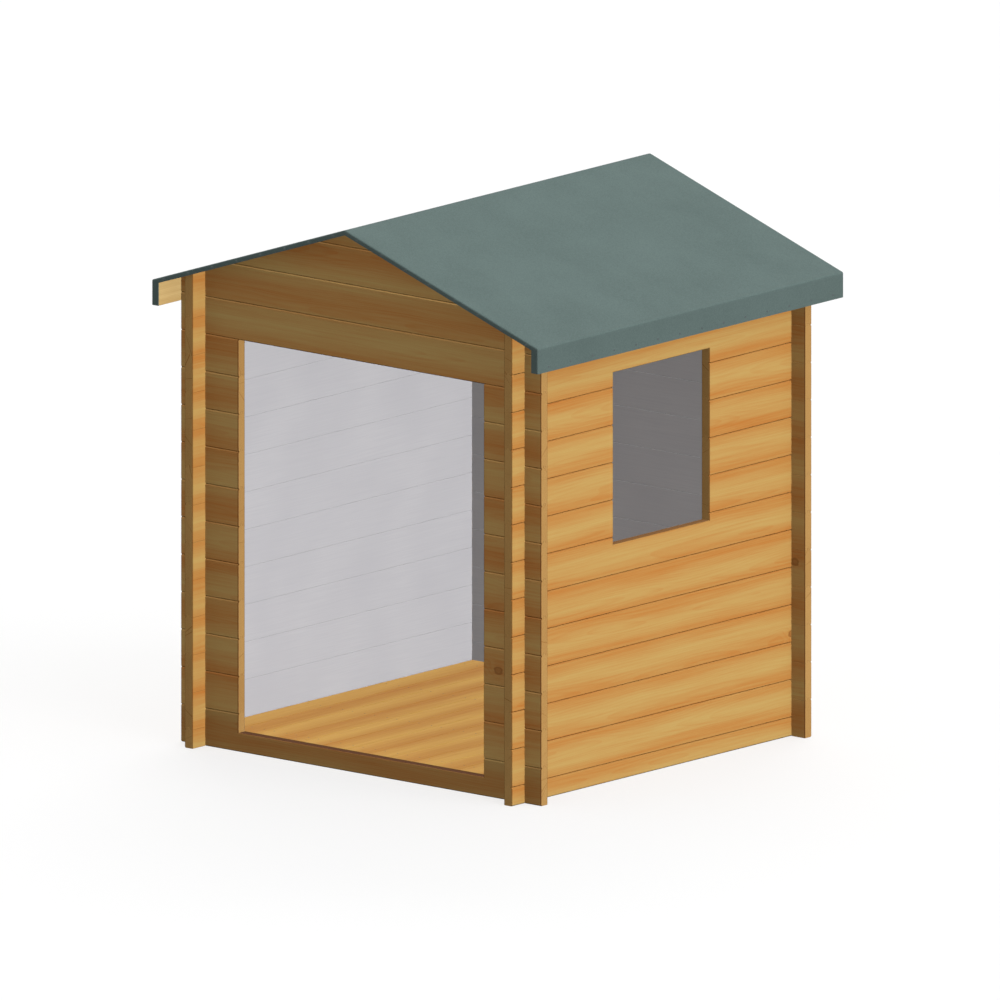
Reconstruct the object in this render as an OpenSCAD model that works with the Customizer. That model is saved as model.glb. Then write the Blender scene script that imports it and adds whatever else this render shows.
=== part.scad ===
// Small square log cabin with a ridge roof of felted boards.
// The doorway faces -Y, the window is in the right wall at +X, and the ground is at z = 0.
// Tongued logs cross at the corners in notches, with the side walls half a course out of step.

/* [Walls] */
// Width over the outer faces of the side walls
wall_w = 1800; // [1600:10:2400]
// Depth over the outer faces of the front and back walls
wall_d = 1780; // [1500:10:2400]
// Thickness of every log
log_t = 44; // [34:1:56]
// Height of one course of logs
course_h = 161; // [150:0.5:175]
// Courses of full logs in a side wall, between its half log and its wall plate
side_courses = 11; // [10:1:13]
// Height of a wall plate at its outer face
plate_h = 174; // [150:1:200]
// Least height of the topmost log of a gable
peak_min_h = 60; // [40:1:80]

/* [Log joints] */
// Chamfer along the outer edges of a log, which leaves a V between courses
log_chamfer = 4; // [1:0.5:7]
// Chamfer along the edges of a log on the room's side, where the courses lie almost flush
room_chamfer = 1; // [0.5:0.5:7]
// Width of the tongue on top of a log
tongue_w = 12; // [8:0.5:16]
// Height of the tongue on top of a log
tongue_h = 9; // [5:0.5:14]
// Clearance of a tongue in the groove above it
tongue_fit = 0.5; // [0.2:0.1:1]

/* [Corners] */
// Length of the front wall's log ends past the side walls
front_end = 90; // [40:1:115]
// Length of the back wall's log ends past the side walls
back_end = 74; // [40:1:115]
// Length of the side walls' log ends past the front and back walls
side_end = 82; // [40:1:100]
// Clearance on each side of a log in its corner notch
notch_fit = 0.3; // [0.1:0.1:1]

/* [Openings] */
// Clear width of the doorway
door_w = 1350; // [700:10:1400]
// Height of the threshold over the ground
threshold_h = 80.5; // [62:0.5:100]
// Clear width of the window
window_w = 627; // [300:1:900]
// Clear height of the window
window_h = 741; // [400:1:1000]
// Distance from the window's head up to the wall plate
window_drop = 95.5; // [20:0.5:130]

/* [Floor] */
// Thickness of the floor boards
floor_t = 18; // [14:1:28]
// Gap round the floor at the walls
floor_gap = 2; // [1:0.5:8]
// Number of bearers under the floor
bearer_count = 4; // [3:1:7]
// Thickness of a bearer
bearer_t = 44; // [34:1:70]
// Distance from the front and back walls to the nearest bearer
bearer_inset = 60; // [20:1:150]

/* [Roof] */
// Pitch of the roof in degrees
pitch = 18.83; // [12:0.01:28]
// Reach of the eaves past the side walls
eave_reach = 162; // [140:1:240]
// Reach of the roof past the front and back walls
verge_reach = 105; // [95:1:240]
// Thickness of the roof boards
deck_t = 18; // [12:1:25]
// Thickness of the roofing felt
felt_t = 3; // [2:0.5:5]
// Thickness of an eaves fascia board
fascia_t = 34; // [18:1:40]
// Depth of the eaves, from the fold of the felt to the bottom of the fascia
fascia_drop = 108; // [70:1:160]
// Thickness of the ridge purlin
purlin_t = 44; // [34:1:70]
// Depth of the ridge purlin
purlin_h = 120; // [90:1:160]
// Depth of the pocket that holds an end of the ridge purlin in a gable
purlin_seat = 22; // [12:1:28]
// Clearance of the ridge purlin in its pockets
purlin_fit = 0.5; // [0.2:0.1:1]

/* [Hidden] */

// Overrun of a cut past the face it opens
over = 1;
// Directions along an axis
FRONT = -1;
BACK = 1;
LEFT = -1;
RIGHT = 1;

// Quarter of a course, which each of two crossing logs gives up at top and bottom
lap_h = course_h / 4;
// Middle planes of the walls
side_x = (wall_w - log_t) / 2;
end_y = (wall_d - log_t) / 2;
// Inside of the room
room_w = wall_w - 2 * log_t;
room_d = wall_d - 2 * log_t;

// Bottom of course c in a front or back wall, counted from 1
function end_z(c) = (c - 1) * course_h;
// Bottom of course c in a side wall, counted from 1 on top of the half log
function side_z(c) = (c - 0.5) * course_h;

header_course = side_courses + 1;
gable_first = side_courses + 2;
plate_z = side_z(side_courses + 1);

// The roof boards lie on the wall plates' planed tops, the gables and the purlin
slope = tan(pitch);
under_ridge = plate_z + plate_h + slope * wall_w / 2;
function under_roof_z(x) = under_ridge - slope * abs(x);
plate_blank_h = plate_h + slope * log_t + log_chamfer + room_chamfer;
gable_rise = under_ridge - end_z(gable_first);
gable_last = gable_first + floor((gable_rise - peak_min_h) / course_h);
peak_blank_h = under_ridge - end_z(gable_last) + log_chamfer + room_chamfer;

roof_half = wall_w / 2 + eave_reach;
roof_d = wall_d + 2 * verge_reach;
deck_half = roof_half - felt_t;
deck_d = roof_d - 2 * felt_t;
deck_rise = deck_t / cos(pitch);
felt_rise = felt_t / cos(pitch);
fold_z = under_roof_z(roof_half) + deck_rise + felt_rise;
fascia_z = fold_z - fascia_drop;
fascia_inner = deck_half - fascia_t;

door_head = end_z(header_course);
window_head = plate_z - window_drop;
window_sill = window_head - window_h;
sill_course = floor(window_sill / course_h + 0.5);
head_course = floor(window_head / course_h + 0.5);

LOG_COLOUR = "#cd9955";
PLATE_COLOUR = "#d4a762";
FLOOR_COLOUR = "#c1904e";
BOARD_COLOUR = "#c4a267";
FELT_COLOUR = "#6c7e7c";

// Section of a log: chamfered edges, a groove underneath and a tongue on top, with the room at -x
module log_section(h, grooved, tongued) {
    half = log_t / 2;
    groove = tongue_w / 2 + tongue_fit;
    groove_h = tongue_h + tongue_fit;
    tongue = tongue_w / 2;
    polygon(concat(
        [[-half, room_chamfer], [-half + room_chamfer, 0]],
        grooved ? [[-groove, 0], [-groove, groove_h], [groove, groove_h], [groove, 0]] : [],
        [[half - log_chamfer, 0], [half, log_chamfer]],
        [[half, h - log_chamfer], [half - log_chamfer, h]],
        tongued ? [[tongue, h], [tongue, h + tongue_h], [-tongue, h + tongue_h], [-tongue, h]] : [],
        [[-half + room_chamfer, h], [-half, h - room_chamfer]]
    ));
}

// Section of a log with its outer face towards the given side
module turned_section(side, h, grooved, tongued) {
    mirror([side < 0 ? 1 : 0, 0, 0]) log_section(h, grooved, tongued);
}

// Log of a front or back wall, from x0 to x1 at the height z
module end_wall_log(side, z, h, x0, x1, grooved = true, tongued = true) {
    translate([x0, side * end_y, z])
        rotate([90, 0, 90])
            linear_extrude(x1 - x0) turned_section(side, h, grooved, tongued);
}

// Log of a side wall, over its full length at the height z
module side_wall_log(side, z, h, grooved = true, tongued = true) {
    translate([side * side_x, 0, z])
        rotate([90, 0, 0])
            linear_extrude(wall_d + 2 * side_end, center = true) turned_section(side, h, grooved, tongued);
}

// Notches for the crossing logs at the four corners, from z0 to z1
module corner_notches(z0, z1) {
    width = log_t + 2 * notch_fit;
    for (x = [-side_x, side_x], y = [-end_y, end_y])
        translate([x - width / 2, y - width / 2, z0]) cube([width, width, z1 - z0]);
}

// Everything under the roof boards
module under_roof() {
    rotate([90, 0, 0])
        linear_extrude(roof_d, center = true)
            polygon([
                [-roof_half, -over], [roof_half, -over],
                [roof_half, under_roof_z(roof_half)], [0, under_ridge], [-roof_half, under_roof_z(roof_half)]
            ]);
}

// Course c of a front or back wall, notched at the corners
module end_course(side, c, x0, x1) {
    z = end_z(c);
    difference() {
        end_wall_log(side, z, course_h, x0, x1, grooved = c > 1);
        corner_notches(z - over, z + lap_h);
        corner_notches(z + course_h - lap_h, z + course_h + tongue_h + over);
    }
}

// Course c of a gable, cut to the pitch and pocketed for the ridge purlin
module gable_course(side, c, end) {
    z = end_z(c);
    top = c == gable_last;
    reach = wall_w / 2 + end;
    pocket_w = purlin_t + 2 * purlin_fit;
    color(LOG_COLOUR) difference() {
        intersection() {
            end_wall_log(side, z, top ? peak_blank_h : course_h, -reach, reach, tongued = !top);
            under_roof();
        }
        if (c == gable_first) corner_notches(z - over, z + lap_h);
        translate([-pocket_w / 2, side * (room_d + purlin_seat) / 2 - purlin_seat / 2, under_ridge - purlin_h])
            cube([pocket_w, purlin_seat, purlin_h + over]);
    }
}

// Every second course of a gable, from the given one
module gable_courses(side, first, end) {
    for (c = [first : 2 : gable_last]) gable_course(side, c, end);
}

// Every second short log beside the doorway, from the given course
module jamb_courses(side, first) {
    reach = wall_w / 2 + front_end;
    x0 = side == LEFT ? -reach : door_w / 2;
    x1 = side == LEFT ? -door_w / 2 : reach;
    color(LOG_COLOUR)
        for (c = [first : 2 : side_courses]) end_course(FRONT, c, x0, x1);
}

// Every second log of the back wall, from the given course
module back_courses(first) {
    reach = wall_w / 2 + back_end;
    color(LOG_COLOUR)
        for (c = [first : 2 : header_course]) end_course(BACK, c, -reach, reach);
}

// Course c of a side wall, notched at the corners
module side_course(side, c) {
    z = side_z(c);
    difference() {
        side_wall_log(side, z, course_h);
        corner_notches(z - over, z + lap_h);
        corner_notches(z + course_h - lap_h, z + course_h + tongue_h + over);
    }
}

// Full logs of a side wall, in the given courses
module full_courses(side, courses) {
    color(LOG_COLOUR)
        for (c = courses) side_course(side, c);
}

// Half log at the foot of a side wall
module half_log(side) {
    color(LOG_COLOUR) difference() {
        side_wall_log(side, 0, course_h / 2, grooved = false);
        corner_notches(course_h / 2 - lap_h, course_h / 2 + tongue_h + over);
    }
}

// Top log of a side wall, planed to the pitch
module wall_plate(side) {
    color(PLATE_COLOUR) difference() {
        intersection() {
            side_wall_log(side, plate_z, plate_blank_h, tongued = false);
            under_roof();
        }
        corner_notches(plate_z - over, plate_z + lap_h);
        corner_notches(plate_z + course_h - lap_h, plate_z + plate_blank_h + over);
    }
}

// Clear space of the window, through the right wall
module window_opening() {
    translate([side_x - log_t / 2 - over, -window_w / 2, window_sill])
        cube([log_t + 2 * over, window_w, window_h]);
}

// Every second short log in front of the window or behind it, from the given course
module window_side_courses(side, first) {
    stub = (wall_d - window_w) / 2 + side_end;
    color(LOG_COLOUR)
        for (c = [first : 2 : head_course - 1])
            intersection() {
                side_course(RIGHT, c);
                translate([side_x - log_t, side == FRONT ? -window_w / 2 - stub : window_w / 2, side_z(c) - over])
                    cube([2 * log_t, stub, course_h + tongue_h + 2 * over]);
            }
}

module front_sill_log() {
    reach = wall_w / 2 + front_end;
    color(LOG_COLOUR) difference() {
        end_course(FRONT, 1, -reach, reach);
        translate([-door_w / 2, -end_y - log_t, threshold_h])
            cube([door_w, 2 * log_t, door_head - threshold_h]);
    }
}

module front_header_log() {
    reach = wall_w / 2 + front_end;
    color(LOG_COLOUR) end_course(FRONT, header_course, -reach, reach);
}

module right_window_sill_log() {
    color(LOG_COLOUR) difference() {
        side_course(RIGHT, sill_course);
        window_opening();
    }
}

module right_window_head_log() {
    color(LOG_COLOUR) difference() {
        side_course(RIGHT, head_course);
        window_opening();
    }
}

// Timbers on the ground, across the room from one half log to the other
module floor_bearers() {
    first_y = bearer_inset + bearer_t / 2 - room_d / 2;
    step = -2 * first_y / (bearer_count - 1);
    color(BOARD_COLOUR)
        for (i = [0 : bearer_count - 1])
            translate([-room_w / 2, first_y + i * step - bearer_t / 2, 0])
                cube([room_w, bearer_t, threshold_h - floor_t]);
}

// Boarded floor, level with the threshold
module floor_boards() {
    width = room_w - 2 * floor_gap;
    depth = room_d - 2 * floor_gap;
    color(FLOOR_COLOUR)
        translate([-width / 2, -depth / 2, threshold_h - floor_t]) cube([width, depth, floor_t]);
}

// Purlin under the ridge, with its top planed to both slopes
module ridge_purlin() {
    half = purlin_t / 2;
    length = room_d + 2 * (purlin_seat - purlin_fit);
    color(BOARD_COLOUR)
        rotate([90, 0, 0])
            linear_extrude(length, center = true)
                polygon([
                    [-half, under_ridge - purlin_h], [half, under_ridge - purlin_h],
                    [half, under_roof_z(half)], [0, under_ridge], [-half, under_roof_z(half)]
                ]);
}

// One slope of boards, cut plumb at the ridge and at the eaves
module roof_boards(side) {
    color(BOARD_COLOUR)
        rotate([90, 0, 0])
            linear_extrude(deck_d, center = true)
                polygon([
                    [0, under_ridge], [side * deck_half, under_roof_z(deck_half)],
                    [side * deck_half, under_roof_z(deck_half) + deck_rise], [0, under_ridge + deck_rise]
                ]);
}

// Board under the edge of the roof boards, with its top planed to the pitch
module fascia(side) {
    color(BOARD_COLOUR)
        rotate([90, 0, 0])
            linear_extrude(deck_d, center = true)
                polygon([
                    [side * fascia_inner, fascia_z], [side * deck_half, fascia_z],
                    [side * deck_half, under_roof_z(deck_half)],
                    [side * fascia_inner, under_roof_z(fascia_inner)]
                ]);
}

// Felt over both slopes, folded down over the fascias and over the ends of the boards
module roof_felt() {
    board_top = under_ridge + deck_rise;
    ridge_z = board_top + felt_rise;
    edge_z = under_roof_z(deck_half) + deck_rise;
    outside = [
        [-roof_half, fascia_z], [-roof_half, fold_z], [0, ridge_z], [roof_half, fold_z], [roof_half, fascia_z]
    ];
    color(FELT_COLOUR) {
        rotate([90, 0, 0])
            linear_extrude(roof_d, center = true)
                polygon(concat(outside, [
                    [deck_half, fascia_z], [deck_half, edge_z], [0, board_top],
                    [-deck_half, edge_z], [-deck_half, fascia_z]
                ]));
        for (side = [FRONT, BACK])
            translate([0, side * (roof_d - felt_t) / 2, 0])
                rotate([90, 0, 0])
                    linear_extrude(felt_t, center = true)
                        polygon(concat(outside, [
                            [fascia_inner, fascia_z], [fascia_inner, under_roof_z(fascia_inner)],
                            [0, under_ridge],
                            [-fascia_inner, under_roof_z(fascia_inner)], [-fascia_inner, fascia_z]
                        ]));
    }
}

front_sill_log();
jamb_courses(LEFT, 3);  // front_left_odd_logs
jamb_courses(LEFT, 2);  // front_left_even_logs
jamb_courses(RIGHT, 3);  // front_right_odd_logs
jamb_courses(RIGHT, 2);  // front_right_even_logs
front_header_log();
gable_courses(FRONT, gable_first, front_end);  // front_gable_odd_logs
gable_courses(FRONT, gable_first + 1, front_end);  // front_gable_even_logs
back_courses(1);  // back_odd_logs
back_courses(2);  // back_even_logs
gable_courses(BACK, gable_first, back_end);  // back_gable_odd_logs
gable_courses(BACK, gable_first + 1, back_end);  // back_gable_even_logs
half_log(LEFT);  // left_half_log
full_courses(LEFT, [1 : 2 : side_courses]);  // left_odd_logs
full_courses(LEFT, [2 : 2 : side_courses]);  // left_even_logs
wall_plate(LEFT);  // left_wall_plate
half_log(RIGHT);  // right_half_log
full_courses(RIGHT, [sill_course - 1 : -2 : 1]);  // right_odd_logs
full_courses(RIGHT, [sill_course - 2 : -2 : 1]);  // right_even_logs
right_window_sill_log();
window_side_courses(FRONT, sill_course + 1);  // right_window_front_odd_logs
window_side_courses(FRONT, sill_course + 2);  // right_window_front_even_logs
window_side_courses(BACK, sill_course + 1);  // right_window_back_odd_logs
window_side_courses(BACK, sill_course + 2);  // right_window_back_even_logs
right_window_head_log();
wall_plate(RIGHT);  // right_wall_plate
floor_bearers();
floor_boards();  // floor
ridge_purlin();
roof_boards(LEFT);  // left_roof_boards
roof_boards(RIGHT);  // right_roof_boards
fascia(LEFT);  // left_fascia
fascia(RIGHT);  // right_fascia
roof_felt();
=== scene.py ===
import math
import random

import bmesh
import bpy
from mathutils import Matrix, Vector


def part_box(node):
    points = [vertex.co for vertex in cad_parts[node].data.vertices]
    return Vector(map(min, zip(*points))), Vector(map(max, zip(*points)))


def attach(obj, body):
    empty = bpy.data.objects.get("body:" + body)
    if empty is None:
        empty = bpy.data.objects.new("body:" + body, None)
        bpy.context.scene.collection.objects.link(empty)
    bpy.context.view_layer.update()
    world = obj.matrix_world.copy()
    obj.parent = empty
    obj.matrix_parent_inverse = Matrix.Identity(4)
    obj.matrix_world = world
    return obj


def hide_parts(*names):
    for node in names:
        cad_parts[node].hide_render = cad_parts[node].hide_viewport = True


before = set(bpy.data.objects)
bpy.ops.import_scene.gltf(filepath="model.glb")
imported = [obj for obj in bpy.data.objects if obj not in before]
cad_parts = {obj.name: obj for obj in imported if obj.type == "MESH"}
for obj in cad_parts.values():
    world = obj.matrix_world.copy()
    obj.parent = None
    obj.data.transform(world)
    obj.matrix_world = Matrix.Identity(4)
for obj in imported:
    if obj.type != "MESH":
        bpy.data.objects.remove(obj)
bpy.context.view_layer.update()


# Floor bearers: four battens that lie on the ground from one side wall to the other, under the floor.
# They are planed softwood with eased arrises, left bare, and have the wood's own straw colour.

MM = 0.001
X, Y, Z = 0, 1, 2


def linear(hex_colour):
    """Turns an sRGB hex value such as CD9955 into linear red, green, blue and alpha."""
    channels = [int(hex_colour[i:i + 2], 16) / 255 for i in (0, 2, 4)]
    return [c / 12.92 if c <= 0.04045 else ((c + 0.055) / 1.055) ** 2.4 for c in channels] + [1.0]


def new_material(name):
    """Starts a material with an empty node tree."""
    material = bpy.data.materials.new(name)
    material.use_nodes = True
    material.node_tree.nodes.clear()
    return material, material.node_tree


def add(tree, kind, inputs, **settings):
    """Adds a node with its settings. An input is a value, a node, or a node and the name of an output."""
    node = tree.nodes.new(kind)
    for name, value in settings.items():
        setattr(node, name, value)
    for name, value in inputs.items():
        if isinstance(value, bpy.types.Node):
            value = next(output for output in value.outputs if output.enabled)
        elif isinstance(value, tuple) and isinstance(value[0], bpy.types.Node):
            value = value[0].outputs[value[1]]
        if isinstance(value, bpy.types.NodeSocket):
            tree.links.new(value, node.inputs[name])
        else:
            node.inputs[name].default_value = value
    return node


def shade_from(tree, shares):
    """Adds up patterns by their shares. The shade is 0.5 where every pattern is at its mean."""
    shade = 0.5 - sum(share * mean for _, share, mean in shares)
    for pattern, share, _ in shares:
        shade = add(tree, "ShaderNodeMath", {0: pattern, 1: share, 2: shade}, operation="MULTIPLY_ADD")
    return shade


# Planed softwood, bare or stained. The eye sees broad soft bands of colour, growth rings that run out in
# long waves round the pith, thin streaks, and here and there a ringed knot that the grain bends round.
# Rings of 3 mm and fibres of 0.3 mm are drawn coarser, so that they show.
# The grain attribute is a point's place in its timber: along it, and from the pith across and through it.
# The attribute that darkens the wood is above 0 where it is darker and matt: on worked-off edges, most of
# all on the arrises of sawn ends, on level cuts such as sills, and inside the joints. On sawn arrises it is
# stain that soaks into the end grain. On the V chamfers between courses and on the faces inside the joints
# it is painted shade, which stands in for the shade that the key light, casting no shadow, doesn't give
# there.
def softwood(name, dark, pale, band_axis, band_pitch, band_start, band_share, stain_and_shade_share):
    material, tree = new_material(name)
    ring_width = 6 * MM
    knot_spacing, knot_radius, knot_rim, knot_reach = 300 * MM, 20 * MM, 6 * MM, 66 * MM
    knot_share, knot_stretch = 0.1, 1.5
    knot_ragged, knot_ring = 14 * MM, 4.5 * MM
    grain = add(tree, "ShaderNodeAttribute", {}, attribute_name="grain")
    tone = add(tree, "ShaderNodeAttribute", {}, attribute_name="tone")
    soaked = add(tree, "ShaderNodeAttribute", {}, attribute_name="soaked")

    noises = []
    for length, width, detail in (
        (900 * MM, 140 * MM, 1.0),
        (450 * MM, 13 * MM, 3.0),
        (50 * MM, 1.6 * MM, 2.0),
    ):
        stretched = add(tree, "ShaderNodeMapping", {
            "Vector": (grain, "Vector"), "Scale": (1 / length, 1 / width, 1 / width),
        })
        noises.append(add(tree, "ShaderNodeTexNoise", {
            "Vector": stretched, "Scale": 1.0, "Detail": detail,
        }))
    wander, streak, fibre = noises

    flat_grain = add(tree, "ShaderNodeMapping", {
        "Vector": (grain, "Vector"), "Scale": (1 / knot_stretch, 1, 1),
    })
    cells = add(tree, "ShaderNodeTexVoronoi", {
        "Vector": flat_grain, "Scale": 1 / knot_spacing,
    }, voronoi_dimensions="2D")
    chance = add(tree, "ShaderNodeSeparateColor", {"Color": (cells, "Color")})
    has_knot = add(tree, "ShaderNodeMath", {0: (chance, "Red"), 1: knot_share}, operation="LESS_THAN")
    from_heart = add(tree, "ShaderNodeMath", {
        0: (cells, "Distance"), 1: knot_spacing,
    }, operation="MULTIPLY")
    distance = add(tree, "ShaderNodeMath", {
        0: streak, 1: knot_ragged, 2: from_heart,
    }, operation="MULTIPLY_ADD")
    from_rim = add(tree, "ShaderNodeMath", {0: distance, 1: knot_radius}, operation="SUBTRACT")
    near_rim = add(tree, "ShaderNodeMath", {0: from_rim}, operation="ABSOLUTE")
    knot, rim, bend = (add(tree, "ShaderNodeMapRange", {
        "Value": measure, "From Min": outer, "From Max": inner, "To Min": 0.0, "To Max": has_knot,
    }, interpolation_type="SMOOTHSTEP") for measure, outer, inner in (
        (distance, knot_radius + knot_rim, knot_radius),
        (near_rim, knot_rim, 0.0),
        (distance, knot_reach, 0.0),
    ))

    section = add(tree, "ShaderNodeMapping", {"Vector": (grain, "Vector"), "Scale": (0, 1, 1)})
    radius = add(tree, "ShaderNodeVectorMath", {0: section}, operation="LENGTH")
    turns = add(tree, "ShaderNodeMath", {0: radius, 1: ring_width}, operation="DIVIDE")
    wander_rings, bend_rings = 9, 3
    for pattern, rings in ((wander, wander_rings), (bend, bend_rings)):
        turns = add(tree, "ShaderNodeMath", {0: pattern, 1: rings, 2: turns}, operation="MULTIPLY_ADD")
    season = add(tree, "ShaderNodeMath", {0: turns}, operation="FRACT")
    late_wood = add(tree, "ShaderNodeMapRange", {
        "Value": season, "From Min": 0.35, "From Max": 1.0,
    }, interpolation_type="SMOOTHSTEP")

    along_stretch = 0.25
    place = add(tree, "ShaderNodeTexCoord", {})
    squeezed = add(tree, "ShaderNodeMapping", {
        "Vector": (place, "Object"),
        "Scale": [1.0 if axis == band_axis else along_stretch for axis in (X, Y, Z)],
    })
    # At a scale of 1, the bands of a wave lie pi / 10 apart.
    band = add(tree, "ShaderNodeTexWave", {
        "Vector": squeezed, "Scale": math.pi / 10 / band_pitch,
        "Phase Offset": -2 * math.pi * band_start / band_pitch,
        "Distortion": 2.2, "Detail": 2.0, "Detail Scale": 1.6,
    }, bands_direction="XYZ"[band_axis])

    shade = shade_from(tree, (
        (band, band_share, 0.5), (streak, 0.75, 0.5), (fibre, 0.3, 0.5),
        (late_wood, -0.14, 0.3), ((tone, "Fac"), 1.0, 0.0),
    ))
    wood = add(tree, "ShaderNodeMix", {
        "Factor": shade, "A": linear(dark), "B": linear(pale),
    }, data_type="RGBA")
    knot_turns = add(tree, "ShaderNodeMath", {0: distance, 1: knot_ring}, operation="DIVIDE")
    knot_season = add(tree, "ShaderNodeMath", {0: knot_turns}, operation="FRACT")
    knot_tone = add(tree, "ShaderNodeMath", {0: knot_season, 1: 0.4, 2: 0.4}, operation="MULTIPLY_ADD")
    knot_heart = add(tree, "ShaderNodeMath", {0: knot, 1: knot_tone}, operation="MULTIPLY")
    knot_edge = add(tree, "ShaderNodeMath", {0: rim, 1: 0.3}, operation="MULTIPLY")
    hearted = add(tree, "ShaderNodeMix", {
        "Factor": knot_heart, "A": wood, "B": linear("A0642D"),
    }, data_type="RGBA")
    knotty = add(tree, "ShaderNodeMix", {
        "Factor": knot_edge, "A": hearted, "B": linear("7A451B"),
    }, data_type="RGBA")
    # Darkening by the attribute: stain on sawn arrises, painted shade on the V chamfers and inside the
    # joints.
    pooled_stain_and_shade = add(tree, "ShaderNodeMath", {0: (soaked, "Fac"), 1: stain_and_shade_share}, operation="MULTIPLY")
    colour = add(tree, "ShaderNodeMix", {
        "Factor": pooled_stain_and_shade, "A": knotty, "B": linear("5B3413"),
    }, data_type="RGBA")

    relief = add(tree, "ShaderNodeMath", {0: late_wood, 1: 0.4, 2: fibre}, operation="MULTIPLY_ADD")
    bump = add(tree, "ShaderNodeBump", {"Height": relief, "Strength": 0.3, "Distance": 0.5 * MM})
    planed = add(tree, "ShaderNodeMath", {0: fibre, 1: 0.25, 2: 0.45}, operation="MULTIPLY_ADD")
    rough = add(tree, "ShaderNodeMath", {
        0: (soaked, "Fac"), 1: 0.8, 2: planed,
    }, operation="MULTIPLY_ADD", use_clamp=True)
    shader = add(tree, "ShaderNodeBsdfPrincipled", {
        "Base Color": colour, "Roughness": rough, "IOR": 1.5, "Specular IOR Level": 0.2, "Normal": bump,
    })
    add(tree, "ShaderNodeOutputMaterial", {"Surface": shader})
    return material


# Cross-cut softwood. The eye sees arcs of growth rings round a pith that may lie outside the timber,
# open pores, and short drying checks that run out from the pith.
def end_grain(name, dark, pale):
    material, tree = new_material(name)
    ring_width = 4.5 * MM
    checks_per_radian = 12
    grain = add(tree, "ShaderNodeAttribute", {}, attribute_name="grain")
    tone = add(tree, "ShaderNodeAttribute", {}, attribute_name="tone")
    wobble, pores = (add(tree, "ShaderNodeTexNoise", {
        "Vector": (grain, "Vector"), "Scale": 1 / size, "Detail": 2.0,
    }) for size in (45 * MM, 2 * MM))
    axes = add(tree, "ShaderNodeSeparateXYZ", {"Vector": (grain, "Vector")})
    section = add(tree, "ShaderNodeMapping", {"Vector": (grain, "Vector"), "Scale": (0, 1, 1)})
    radius = add(tree, "ShaderNodeVectorMath", {0: section}, operation="LENGTH")
    turns = add(tree, "ShaderNodeMath", {0: radius, 1: ring_width}, operation="DIVIDE")
    turns = add(tree, "ShaderNodeMath", {0: wobble, 1: 2.0, 2: turns}, operation="MULTIPLY_ADD")
    season = add(tree, "ShaderNodeMath", {0: turns}, operation="FRACT")
    late_wood = add(tree, "ShaderNodeMapRange", {
        "Value": season, "From Min": 0.35, "From Max": 1.0,
    }, interpolation_type="SMOOTHSTEP")
    angle = add(tree, "ShaderNodeMath", {0: (axes, "Z"), 1: (axes, "Y")}, operation="ARCTAN2")
    spoke = add(tree, "ShaderNodeCombineXYZ", {"X": (axes, "X"), "Y": angle})
    rays = add(tree, "ShaderNodeTexNoise", {"Vector": spoke, "Scale": checks_per_radian, "Detail": 1.0})
    check = add(tree, "ShaderNodeMapRange", {"Value": rays, "From Min": 0.69, "From Max": 0.73})

    shade = shade_from(tree, (
        (pores, 0.5, 0.5), (late_wood, -0.4, 0.3), (check, -0.5, 0.0), ((tone, "Fac"), 1.0, 0.0),
    ))
    colour = add(tree, "ShaderNodeMix", {
        "Factor": shade, "A": linear(dark), "B": linear(pale),
    }, data_type="RGBA")
    bump = add(tree, "ShaderNodeBump", {"Height": shade, "Strength": 0.5, "Distance": 0.6 * MM})
    shader = add(tree, "ShaderNodeBsdfPrincipled", {
        "Base Color": colour, "Roughness": 0.75, "IOR": 1.5, "Specular IOR Level": 0.2, "Normal": bump,
    })
    add(tree, "ShaderNodeOutputMaterial", {"Surface": shader})
    return material


def solid_timbers(node):
    """Copies a node's solids as clean faces, without the triangles they were stored as."""
    bm = bmesh.new()
    bm.from_mesh(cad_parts[node].data)
    bmesh.ops.remove_doubles(bm, verts=bm.verts, dist=0.02 * MM)
    bmesh.ops.dissolve_limit(bm, angle_limit=math.radians(0.5), verts=bm.verts, edges=bm.edges)
    return bm


def separate_timbers(bm):
    """Lists the faces of each separate timber in a mesh, from the ground up."""
    left = set(bm.faces)
    timbers = []
    while left:
        timber = []
        queue = [left.pop()]
        while queue:
            face = queue.pop()
            timber.append(face)
            for near in {f for v in face.verts for f in v.link_faces} & left:
                left.discard(near)
                queue.append(near)
        timbers.append(timber)
    return sorted(timbers, key=lambda timber: tuple(
        round(min(v.co[axis] for f in timber for v in f.verts) / MM) for axis in (Z, X, Y)
    ))


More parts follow.
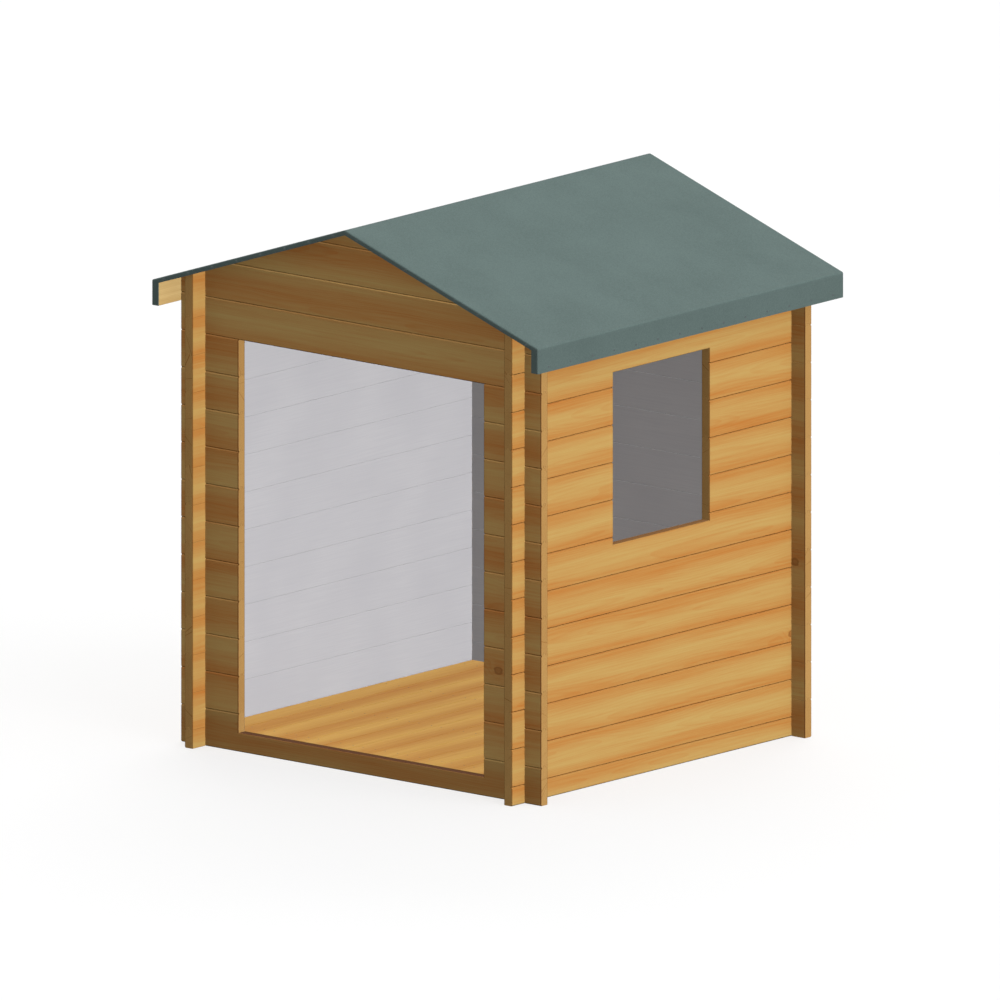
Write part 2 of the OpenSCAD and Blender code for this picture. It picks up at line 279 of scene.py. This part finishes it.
def grow(bm, along, draw):
    """Gives each timber its own grain round a pith, its own tone, and end grain where it is sawn."""
    square = math.cos(math.radians(20))
    oblique = math.cos(math.radians(78))
    end_soak, side_stain_and_shade = 1.0, 0.5
    trunk_length = 40
    tint_limit = 0.06
    grain = bm.loops.layers.float_vector.new("grain")
    tone = bm.faces.layers.float.new("tone")
    soaked = bm.faces.layers.float.new("soaked")
    for timber in separate_timbers(bm):
        corners = [v.co for f in timber for v in f.verts]
        low = Vector([min(c[axis] for c in corners) for axis in (X, Y, Z)])
        size = Vector([max(c[axis] for c in corners) for axis in (X, Y, Z)]) - low
        deep, across = sorted((axis for axis in (X, Y, Z) if axis != along), key=lambda axis: size[axis])
        start = draw.uniform(0, trunk_length)
        tint = draw.uniform(-tint_limit, tint_limit)
        # The pith lies within the timber's width, and up to 0.6 of a width in front of it or behind it.
        pith_across = draw.uniform(0.15, 0.85) * size[across]
        pith_deep = draw.choice((-1, 1)) * draw.uniform(0.1, 0.6) * size[across] + size[deep] / 2
        for face in timber:
            face[tone] = tint
            # Worked-off faces are darkened. On sawn-end arrises this is stain in the end grain; elsewhere,
            # as on the V chamfers between logs, it is painted shade.
            worked_off = max(abs(part) for part in face.normal) < square
            end_arris = abs(face.normal[along]) > oblique
            face[soaked] = worked_off * (end_soak if end_arris else side_stain_and_shade)
            face.material_index = 1 if abs(face.normal[along]) > square else 0
            for loop in face.loops:
                place = loop.vert.co - low
                loop[grain] = (start + place[along], place[across] - pith_across, place[deep] - pith_deep)


def finished_piece(bm, name, slot, materials, *nodes):
    """Turns a mesh into a piece that rides on the cabin and stands for its nodes."""
    mesh = bpy.data.meshes.new(name)
    bm.to_mesh(mesh)
    bm.free()
    for material in materials:
        mesh.materials.append(material)
    piece = bpy.data.objects.new(name, mesh)
    bpy.context.scene.collection.objects.link(piece)
    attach(piece, "root")
    if nodes:
        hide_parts(*nodes)


def ease(bm, edges, width, steps):
    """Takes off edges, flat in one step or rounded in more."""
    bmesh.ops.bevel(
        bm, geom=edges, offset=width, segments=steps, profile=0.5, affect="EDGES", clamp_overlap=True,
    )
    bm.normal_update()


def planed_timber(node, along, materials):
    """Dresses a node's planed timbers: every arris is eased and each timber has its own grain."""
    eased = 2 * MM
    sharp = math.radians(30)
    bm = solid_timbers(node)
    ease(bm, [e for e in bm.edges if e.calc_face_angle(0) > sharp], eased, steps=2)
    grow(bm, along, timber_draw)
    finished_piece(bm, "planed_" + node, "roof_timber", materials, node)


timber_draw = random.Random(11)
batten_band = 90 * MM
BARE_DARK, BARE_PALE = "CDA462", "EDCF91"
bare_wood = softwood(
    "bare_planed_softwood", BARE_DARK, BARE_PALE, Z, batten_band,
    band_start=0.0, band_share=0.2, stain_and_shade_share=0.0,
)
bare_ends = end_grain("bare_softwood_end_grain", "9C7640", "CFB077")
planed_timber("floor_bearers", X, [bare_wood, bare_ends])


# Logs of the two side walls, from the half logs on the ground up to the planed wall plates.
# Softwood, tongued and grooved, stained a warm gold outside and painted pale grey on the room's side.
# They are stacked dry and locked into the notches of the front and back walls.

# Water-based wall paint, brushed along the logs. The eye sees an even pale grey with a soft sheen, in which
# brush strokes of a few millimetres and slow clouds of a thicker coat just show. The V chamfers at the
# joints are painted a darker grey, which is painted shade: it evens out the light that the chamfers catch
# from the key light, and it is deeper on the end walls, whose chamfers catch more of it.
def wall_paint(name, thin, thick, joint):
    material, tree = new_material(name)
    stroke_length, stroke_width, cloud_size = 220 * MM, 5 * MM, 300 * MM
    grain = add(tree, "ShaderNodeAttribute", {}, attribute_name="grain")
    stretched = add(tree, "ShaderNodeMapping", {
        "Vector": (grain, "Vector"), "Scale": (1 / stroke_length, 1 / stroke_width, 1 / stroke_width),
    })
    strokes = add(tree, "ShaderNodeTexNoise", {"Vector": stretched, "Scale": 1.0, "Detail": 3.0})
    place = add(tree, "ShaderNodeTexCoord", {})
    cloud = add(tree, "ShaderNodeTexNoise", {
        "Vector": (place, "Object"), "Scale": 1 / cloud_size, "Detail": 1.0,
    })
    coat = add(tree, "ShaderNodeMath", {0: strokes, 1: cloud}, operation="MULTIPLY")
    cover = add(tree, "ShaderNodeMapRange", {"Value": coat, "From Min": 0.1, "From Max": 0.4})
    coated = add(tree, "ShaderNodeMix", {
        "Factor": cover, "A": linear(thin), "B": linear(thick),
    }, data_type="RGBA")
    soaked = add(tree, "ShaderNodeAttribute", {}, attribute_name="soaked")
    # The joint colour is painted shade on the V chamfers and on the faces inside the joints.
    colour = add(tree, "ShaderNodeMix", {
        "Factor": (soaked, "Fac"), "A": coated, "B": linear(joint),
    }, data_type="RGBA")
    bump = add(tree, "ShaderNodeBump", {"Height": strokes, "Strength": 0.2, "Distance": 0.4 * MM})
    shader = add(tree, "ShaderNodeBsdfPrincipled", {
        "Base Color": colour, "Roughness": 0.6, "IOR": 1.5, "Specular IOR Level": 0.2, "Normal": bump,
    })
    add(tree, "ShaderNodeOutputMaterial", {"Surface": shader})
    return material


room_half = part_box("right_half_log")[0].x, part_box("back_odd_logs")[0].y
wall_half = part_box("right_half_log")[1].x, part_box("back_odd_logs")[1].y
log_thickness = wall_half[X] - room_half[X]
foot_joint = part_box("left_odd_logs")[0].z
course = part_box("left_even_logs")[0].z - foot_joint


def log_piece(node, along, materials):
    """Dresses a node's logs: sawn arrises eased, a grain for each log, dark sills, paint in the room."""
    deep = X if along == Y else Y
    room_end, wall_end = room_half[along], wall_half[along]
    inner_face, outer_face = room_half[deep], wall_half[deep]
    middle = (inner_face + outer_face) / 2
    eased = 3 * MM
    slack = 1 * MM
    chamfer = 5 * MM
    joint_painted_shade, sill_darkening = 1.0, 1.3
    flat = math.cos(math.radians(8))
    upright = math.cos(math.radians(25))
    turned = math.cos(math.radians(70))
    bm = solid_timbers(node)
    facing = Vector([1 if axis == along else 0 for axis in (X, Y, Z)])
    for side in (-1, 1):
        everything = bm.verts[:] + bm.edges[:] + bm.faces[:]
        corner = facing * side * room_end
        bmesh.ops.bisect_plane(bm, geom=everything, dist=0.01 * MM, plane_co=corner, plane_no=facing)
    bm.normal_update()

    def is_level_cut(face):
        depths = [v.co[deep] for v in face.verts]
        full_depth = max(depths) - min(depths) > log_thickness - 2 * eased - slack
        return abs(face.normal.z) > flat and full_depth

    def is_in_joint(face):
        depth = abs(face.calc_center_median()[deep])
        return abs(depth - middle) < log_thickness / 3 and abs(face.normal[along]) < flat

    def is_sawn(face):
        centre = face.calc_center_median()
        in_notch = room_end - slack < abs(centre[along]) < wall_end + slack
        on_ground = centre.z < slack
        is_cut = abs(face.normal[along]) > flat or is_level_cut(face)
        return is_cut and not in_notch and not on_ground

    def is_arris(edge):
        sides = [f for f in edge.link_faces if f not in sawn]
        if len(edge.link_faces) != 2 or len(sides) != 1:
            return False
        depth = abs((edge.verts[0].co + edge.verts[1].co)[deep] / 2)
        in_tongue = abs(depth - middle) < log_thickness / 4
        return abs(sides[0].normal.z) < upright and not in_tongue

    sawn = {f for f in bm.faces if is_sawn(f)}
    ease(bm, [e for e in bm.edges if is_arris(e)], eased, steps=2)
    grow(bm, along, timber_draw)
    soaked = bm.faces.layers.float["soaked"]
    for face in bm.faces:
        if is_level_cut(face):
            face[soaked] = sill_darkening
        # Faces inside the joints, which show only at the log ends, are painted dark as painted shade.
        elif is_in_joint(face):
            face[soaked] = joint_painted_shade
        centre = face.calc_center_median()
        inward = -math.copysign(1, centre[deep]) * face.normal[deep]
        in_room = abs(centre[along]) < room_end and abs(centre[deep]) < inner_face + chamfer
        if inward > turned and in_room:
            face.material_index = 2
    finished_piece(bm, "dressed_" + node, "log_timber", materials, node)


side_stain = softwood(
    "gold_stained_softwood_side_walls", "C98039", "D1AF68", Z, course,
    band_start=foot_joint, band_share=0.5, stain_and_shade_share=0.6,
)
stained_ends = end_grain("gold_stained_end_grain", "A06A30", "DDB470")
# The last colour is painted shade in the V joints.
side_paint = wall_paint("pale_grey_paint_side_walls", "D0CFD4", "D7D6DA", "ADACB0")
for side_node in (
    "left_half_log", "left_odd_logs", "left_even_logs", "left_wall_plate",
    "right_half_log", "right_odd_logs", "right_even_logs", "right_window_sill_log",
    "right_window_front_odd_logs", "right_window_front_even_logs",
    "right_window_back_odd_logs", "right_window_back_even_logs",
    "right_window_head_log", "right_wall_plate",
):
    log_piece(side_node, Y, [side_stain, stained_ends, side_paint])


# Logs of the front and back walls: the sill log with the threshold, short logs beside the doorway, the
# header, and gables cut to the pitch. They are the same stained softwood, half a course out of step with
# the side walls, in broader bands of colour. Their stain is a little darker and less yellow than the side
# walls', a painted shade tint taken from how these faces look in shade. The sill log is stained darker
# still.
end_wall_band = 239 * MM
# The end walls' stain colours carry a painted shade tint: darker and less yellow than the side walls'.
end_stain = softwood(
    "gold_stain_shade_tinted_end_walls", "C27B3A", "D0AF6C", Z, end_wall_band,
    band_start=foot_joint, band_share=0.5, stain_and_shade_share=0.9,
)
sill_stain = softwood(
    "darker_stained_softwood_sill", "B27135", "C0A163", Z, end_wall_band,
    band_start=foot_joint, band_share=0.5, stain_and_shade_share=0.9,
)
# The last colour is much darker: painted shade in the V joints, which catch more of the light on these
# walls.
end_paint = wall_paint("pale_grey_paint_end_walls", "DDDBDE", "E5E3E5", "58585B")
log_piece("front_sill_log", X, [sill_stain, stained_ends, end_paint])
for end_node in (
    "front_left_odd_logs", "front_left_even_logs",
    "front_right_odd_logs", "front_right_even_logs", "front_header_log",
    "front_gable_odd_logs", "front_gable_even_logs",
    "back_odd_logs", "back_even_logs", "back_gable_odd_logs", "back_gable_even_logs",
):
    log_piece(end_node, X, [end_stain, stained_ends, end_paint])


# Floor boards: planed softwood, laid from front to back, side by side across the bearers.
# Their long arrises are eased, so that a fine line shows at each joint. They have the walls' gold stain.
def boards(count, low, high, along, worked_z, arris, steps):
    """Makes boards side by side between two corners, with the long arrises of one face worked off."""
    across = X if along == Y else Y
    joint_gap = 0.1 * MM
    board_width = (high[across] - low[across]) / count
    bm = bmesh.new()
    for i in range(count):
        near, far = low.copy(), high.copy()
        near[across] = low[across] + i * board_width + joint_gap / 2
        far[across] = near[across] + board_width - joint_gap
        for vert in bmesh.ops.create_cube(bm, size=1)["verts"]:
            vert.co = Vector([(near if vert.co[axis] < 0 else far)[axis] for axis in (X, Y, Z)])

    def is_worked(edge):
        one, two = (v.co for v in edge.verts)
        return abs((one - two)[along]) > board_width and abs((one.z + two.z) / 2 - worked_z) < MM

    bmesh.ops.recalc_face_normals(bm, faces=bm.faces)
    ease(bm, [e for e in bm.edges if is_worked(e)], arris, steps)
    return bm


floor_board_count = 14
floor_arris = 1.5 * MM
floor_band = 235 * MM
floor_low, floor_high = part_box("floor")
floor_bm = boards(floor_board_count, floor_low, floor_high, Y, floor_high.z, floor_arris, steps=2)
grow(floor_bm, Y, timber_draw)
floor_wood = softwood(
    "gold_stained_softwood_floor", "C27E2B", "DEAD50", X, floor_band,
    band_start=0.0, band_share=0.5, stain_and_shade_share=0.5,
)
finished_piece(floor_bm, "floor_boards", "floor_timber", [floor_wood, stained_ends], "floor")


# Nails of the floor: two in each board over each bearer, driven flush.
# Their flat heads are galvanised steel wire, 5 mm across.

# Hot-dip galvanised steel, dulled by weather. The eye sees a matt grey with paler and darker
# crystals of zinc.
def zinc(name):
    material, tree = new_material(name)
    crystal = 3 * MM
    place = add(tree, "ShaderNodeTexCoord", {})
    spangle = add(tree, "ShaderNodeTexVoronoi", {"Vector": (place, "Object"), "Scale": 1 / crystal})
    facet = add(tree, "ShaderNodeSeparateColor", {"Color": (spangle, "Color")})
    colour = add(tree, "ShaderNodeMix", {
        "Factor": facet, "A": linear("5C6465"), "B": linear("737B7B"),
    }, data_type="RGBA")
    rough = add(tree, "ShaderNodeMath", {0: facet, 1: 0.2, 2: 0.5}, operation="MULTIPLY_ADD")
    shader = add(tree, "ShaderNodeBsdfPrincipled", {
        "Base Color": colour, "Metallic": 1.0, "Roughness": rough,
    })
    add(tree, "ShaderNodeOutputMaterial", {"Surface": shader})
    return material


def nail_heads(spots, radius, height):
    """Makes a round head, a little domed, at each spot and square to the direction that goes with it."""
    sides = 12
    sunk = 0.2 * MM
    rim_height, crown_radius = height * 0.5, radius * 0.7
    bm = bmesh.new()
    for centre, outward in spots:
        sideways = outward.orthogonal().normalized()
        upwards = outward.cross(sideways)
        rings = []
        for ring_radius, level in ((radius, -sunk), (radius, rim_height), (crown_radius, height)):
            turns = [2 * math.pi * i / sides for i in range(sides)]
            rings.append([bm.verts.new(
                centre + outward * level + (sideways * math.cos(t) + upwards * math.sin(t)) * ring_radius
            ) for t in turns])
        for lower, upper in zip(rings, rings[1:]):
            for i in range(sides):
                bm.faces.new((lower[i], lower[i - 1], upper[i - 1], upper[i]))
        bm.faces.new(rings[0])
        bm.faces.new(rings[-1])
    bmesh.ops.recalc_face_normals(bm, faces=bm.faces)
    return bm


galvanised = zinc("galvanised_steel")
nail_radius, nail_height = 2.5 * MM, 0.3 * MM
nail_places = 0.22, 0.78
bearer_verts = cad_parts["floor_bearers"].data.vertices
bearer_edges = sorted({round(v.co.y / MM) for v in bearer_verts})
bearer_middles = [(near + far) / 2 * MM for near, far in zip(bearer_edges[::2], bearer_edges[1::2])]
floor_board_width = (floor_high.x - floor_low.x) / floor_board_count
floor_spots = [
    (Vector((floor_low.x + (board + share) * floor_board_width, y, floor_high.z)), Vector((0, 0, 1)))
    for board in range(floor_board_count) for share in nail_places for y in bearer_middles
]
floor_nails = nail_heads(floor_spots, nail_radius, nail_height)
finished_piece(floor_nails, "floor_nails", "floor_timber", [galvanised])


# Ridge purlin: one planed timber under the ridge, with its top planed to both slopes.
# Its ends sit in pockets in the two gables. It is bare softwood, as the bearers are.
planed_timber("ridge_purlin", Y, [bare_wood, bare_ends])


# Roof boards: matched softwood boards from the ridge down to the eaves, on the purlin and the wall plates.
# Their undersides show in the room and under the eaves, with a V along each joint. They are bare wood.
roof_board_count = 18
v_joint = 3 * MM
board_band = 110 * MM
deck_low, deck_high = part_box("right_roof_boards")
under_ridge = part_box("ridge_purlin")[1].z
roof_slope = (under_ridge - deck_low.z) / deck_high.x
deck_rise = deck_high.z - under_ridge
roof_wood = softwood(
    "bare_softwood_boards", BARE_DARK, BARE_PALE, Y, board_band,
    band_start=0.0, band_share=0.2, stain_and_shade_share=0.6,
)
for roof_side, side_name in ((-1, "left_roof_boards"), (1, "right_roof_boards")):
    level_low = Vector((0, deck_low.y, 0))
    level_high = Vector((deck_high.x, deck_high.y, deck_rise))
    roof_bm = boards(roof_board_count, level_low, level_high, X, level_low.z, v_joint, steps=1)
    grow(roof_bm, X, timber_draw)
    for roof_vert in roof_bm.verts:
        roof_vert.co.z += under_ridge - roof_slope * roof_vert.co.x
        roof_vert.co.x *= roof_side
    roof_bm.normal_update()
    bmesh.ops.recalc_face_normals(roof_bm, faces=roof_bm.faces)
    finished_piece(roof_bm, "boarding_" + side_name, "roof_timber", [roof_wood, bare_ends], side_name)


# Fascias: a planed softwood board along each eave, under the ends of the roof boards.
# The felt is folded down over its outer face. The inner face shows under the eaves, in bare wood.
for fascia_node in ("left_fascia", "right_fascia"):
    planed_timber(fascia_node, Y, [bare_wood, bare_ends])


# Roofing felt: bitumen sheet faced with crushed slate, laid over both slopes in one piece.
# It is folded down over the fascias and over the ends of the boards, with rounded folds.

# Mineral felt. The eye sees a matt grey-green of slate grit, a little uneven from the scatter of pale and
# dark grains. Faces that look up are painted a little darker and upright faces a little paler: painted
# shade and light by which way a face turns.
# The grains are 1 mm across and are drawn at 4 mm as well, so that they show.
def mineral_felt(name):
    material, tree = new_material(name)
    place = add(tree, "ShaderNodeTexCoord", {})
    grit, clump, cloud = (add(tree, "ShaderNodeTexNoise", {
        "Vector": (place, "Object"), "Scale": 1 / size, "Detail": detail,
    }) for size, detail in ((1.2 * MM, 1.0), (5 * MM, 2.0), (260 * MM, 2.0)))
    grains = add(tree, "ShaderNodeTexVoronoi", {"Vector": (place, "Object"), "Scale": 1 / (4 * MM)})
    grain_tint = add(tree, "ShaderNodeSeparateColor", {"Color": (grains, "Color")})
    normal_for_painted_light = add(tree, "ShaderNodeNewGeometry", {})
    facing = add(tree, "ShaderNodeSeparateXYZ", {"Vector": (normal_for_painted_light, "Normal")})

    # The last share is painted light and shade: the more a face looks up, the darker it is painted.
    shade = shade_from(tree, (
        (grit, 0.5, 0.5), (clump, 0.5, 0.5), (cloud, 0.5, 0.5),
        ((grain_tint, "Red"), 0.3, 0.5), ((facing, "Z"), -0.3, 0.58),
    ))
    colour = add(tree, "ShaderNodeMix", {
        "Factor": shade, "A": linear("505F5C"), "B": linear("687976"),
    }, data_type="RGBA")
    relief = add(tree, "ShaderNodeMath", {0: clump, 1: 1.5, 2: grit}, operation="MULTIPLY_ADD")
    bump = add(tree, "ShaderNodeBump", {"Height": relief, "Strength": 0.5, "Distance": 0.8 * MM})
    shader = add(tree, "ShaderNodeBsdfPrincipled", {
        "Base Color": colour, "Roughness": 0.92, "IOR": 1.5, "Specular IOR Level": 0.15, "Normal": bump,
    })
    add(tree, "ShaderNodeOutputMaterial", {"Surface": shader})
    return material


fold_radius = 6 * MM
fold_angle = math.radians(20)
felt_rim = 5 * MM
felt_bm = solid_timbers("roof_felt")


def is_rim(face):
    """Says whether a face is only the cut edge of the sheet."""
    return face.calc_area() / max(e.calc_length() for e in face.edges) < felt_rim


felt_folds = [
    e for e in felt_bm.edges
    if e.is_convex and e.calc_face_angle(0) > fold_angle and not any(is_rim(f) for f in e.link_faces)
]
ease(felt_bm, felt_folds, fold_radius, steps=4)
slate_felt = mineral_felt("slate_faced_felt")
finished_piece(felt_bm, "laid_roof_felt", "roofing_felt", [slate_felt], "roof_felt")


# Felt nails: short galvanised clouts with broad flat heads, along the lower edge of each fascia
# and along both verges, where they hold the turned-down felt to the ends of the roof boards.
clout_radius, clout_height = 4.5 * MM, 1 * MM
clout_pitch = 140 * MM
felt_low, felt_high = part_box("roof_felt")
eave_clout_rise, verge_clout_drop = 22 * MM, 12 * MM
eave_count = round((felt_high.y - felt_low.y) / clout_pitch)
verge_count = round(felt_high.x / math.cos(math.atan(roof_slope)) / clout_pitch)
clout_spots = []
for clout_side in (-1, 1):
    for i in range(eave_count):
        y = felt_low.y + (i + 0.5) / eave_count * (felt_high.y - felt_low.y)
        eave_spot = Vector((clout_side * felt_high.x, y, felt_low.z + eave_clout_rise))
        clout_spots.append((eave_spot, Vector((clout_side, 0, 0))))
    for i in range(verge_count):
        x = (i + 0.5) / verge_count * felt_high.x
        z = felt_high.z - roof_slope * x - verge_clout_drop
        for verge_y, outward in ((felt_low.y, -1), (felt_high.y, 1)):
            clout_spots.append((Vector((clout_side * x, verge_y, z)), Vector((0, outward, 0))))
felt_clouts = nail_heads(clout_spots, clout_radius, clout_height)
finished_piece(felt_clouts, "felt_clouts", "roofing_felt", [galvanised])


# Studio floor: a plain pale floor, a hair lower than the logs. Cameras see it white where nothing shades
# it, with a soft shadow round the cabin, and it throws less light back onto the walls than white would.
studio_reach, studio_drop = 30, 0.5 * MM
studio_bm = bmesh.new()
bmesh.ops.create_grid(studio_bm, x_segments=1, y_segments=1, size=studio_reach)
studio_mesh = bpy.data.meshes.new("studio_floor")
studio_bm.to_mesh(studio_mesh)
studio_bm.free()
studio_floor = bpy.data.objects.new("studio_floor", studio_mesh)
studio_floor.location.z = -studio_drop
bpy.context.scene.collection.objects.link(studio_floor)


def seen_directly(tree):
    """Adds the nodes that are 1 for what a camera, a mirror or a pane of glass shows."""
    path = add(tree, "ShaderNodeLightPath", {})
    seen = add(tree, "ShaderNodeMath", {
        0: (path, "Is Camera Ray"), 1: (path, "Is Glossy Ray"),
    }, operation="MAXIMUM")
    return add(tree, "ShaderNodeMath", {0: seen, 1: (path, "Is Transmission Ray")}, operation="MAXIMUM")


studio_paint, studio_tree = new_material("white_studio_floor")
floor_glow = 0.13
floor_seen = seen_directly(studio_tree)
floor_colour = add(studio_tree, "ShaderNodeMix", {
    "Factor": floor_seen, "A": linear("808080"), "B": linear("E6E6E6"),
}, data_type="RGBA")
floor_strength = add(studio_tree, "ShaderNodeMath", {
    0: floor_seen, 1: floor_glow,
}, operation="MULTIPLY")
studio_shader = add(studio_tree, "ShaderNodeBsdfPrincipled", {
    "Base Color": floor_colour, "Roughness": 0.9, "Specular IOR Level": 0.0,
    "Emission Color": (1, 1, 1, 1), "Emission Strength": floor_strength,
})
add(studio_tree, "ShaderNodeOutputMaterial", {"Surface": studio_shader})
studio_mesh.materials.append(studio_paint)

# Studio light: a white room all round, a key light from the right and a weaker fill from behind on the
# left, which reach into the cabin and aren't passed on from wall to wall, and a softbox that casts shadows.
room_light = 0.22
world = bpy.data.worlds.new("white_studio")
bpy.context.scene.world = world
world.use_nodes = True
world.node_tree.nodes.clear()
sky_strength = add(world.node_tree, "ShaderNodeMapRange", {
    "Value": seen_directly(world.node_tree), "To Min": room_light, "To Max": 1.0,
})
sky = add(world.node_tree, "ShaderNodeBackground", {"Color": (1, 1, 1, 1), "Strength": sky_strength})
add(world.node_tree, "ShaderNodeOutputWorld", {"Surface": sky})

for lamp_name, direction, energy, width, shadows, bounces in (
    ("key_light", (0.74, -0.17, 0.64), 3.2, 10, False, 0),
    ("softbox", (0.80, 0.0, 0.60), 0.3, 50, True, 8),
    ("fill_light", (-0.47, 0.80, 0.36), 1.7, 60, False, 0),
):
    lamp = bpy.data.objects.new(lamp_name, bpy.data.lights.new(lamp_name, "SUN"))
    lamp.data.energy = energy
    lamp.data.angle = math.radians(width)
    lamp.data.use_shadow = shadows
    lamp.data.cycles.max_bounces = bounces
    lamp.rotation_euler = Vector(direction).to_track_quat("Z", "Y").to_euler()
    bpy.context.scene.collection.objects.link(lamp)

# Camera: a parallel view from the front right and a little above, as the drawing has it.
# The middle of the picture lies a little to the right of the cabin's.
picture_width = 4200 * MM
centre_height, centre_shift = 1028.7 * MM, 9.7 * MM
camera_distance = 10
azimuth = math.radians(40.2)
elevation = math.radians(12.33)
view_back = Vector((
    math.sin(azimuth) * math.cos(elevation), -math.cos(azimuth) * math.cos(elevation), math.sin(elevation),
))
view_right = Vector((math.cos(azimuth), math.sin(azimuth), 0))
looked_at = Vector((0, 0, centre_height)) + view_right * centre_shift
camera = bpy.data.objects.new("camera", bpy.data.cameras.new("camera"))
camera.data.type = "ORTHO"
camera.data.ortho_scale = picture_width
camera.location = looked_at + view_back * camera_distance
camera.rotation_euler = view_back.to_track_quat("Z", "Y").to_euler()
bpy.context.scene.collection.objects.link(camera)
bpy.context.scene.camera = camera
bpy.context.scene.view_settings.view_transform = "Standard"
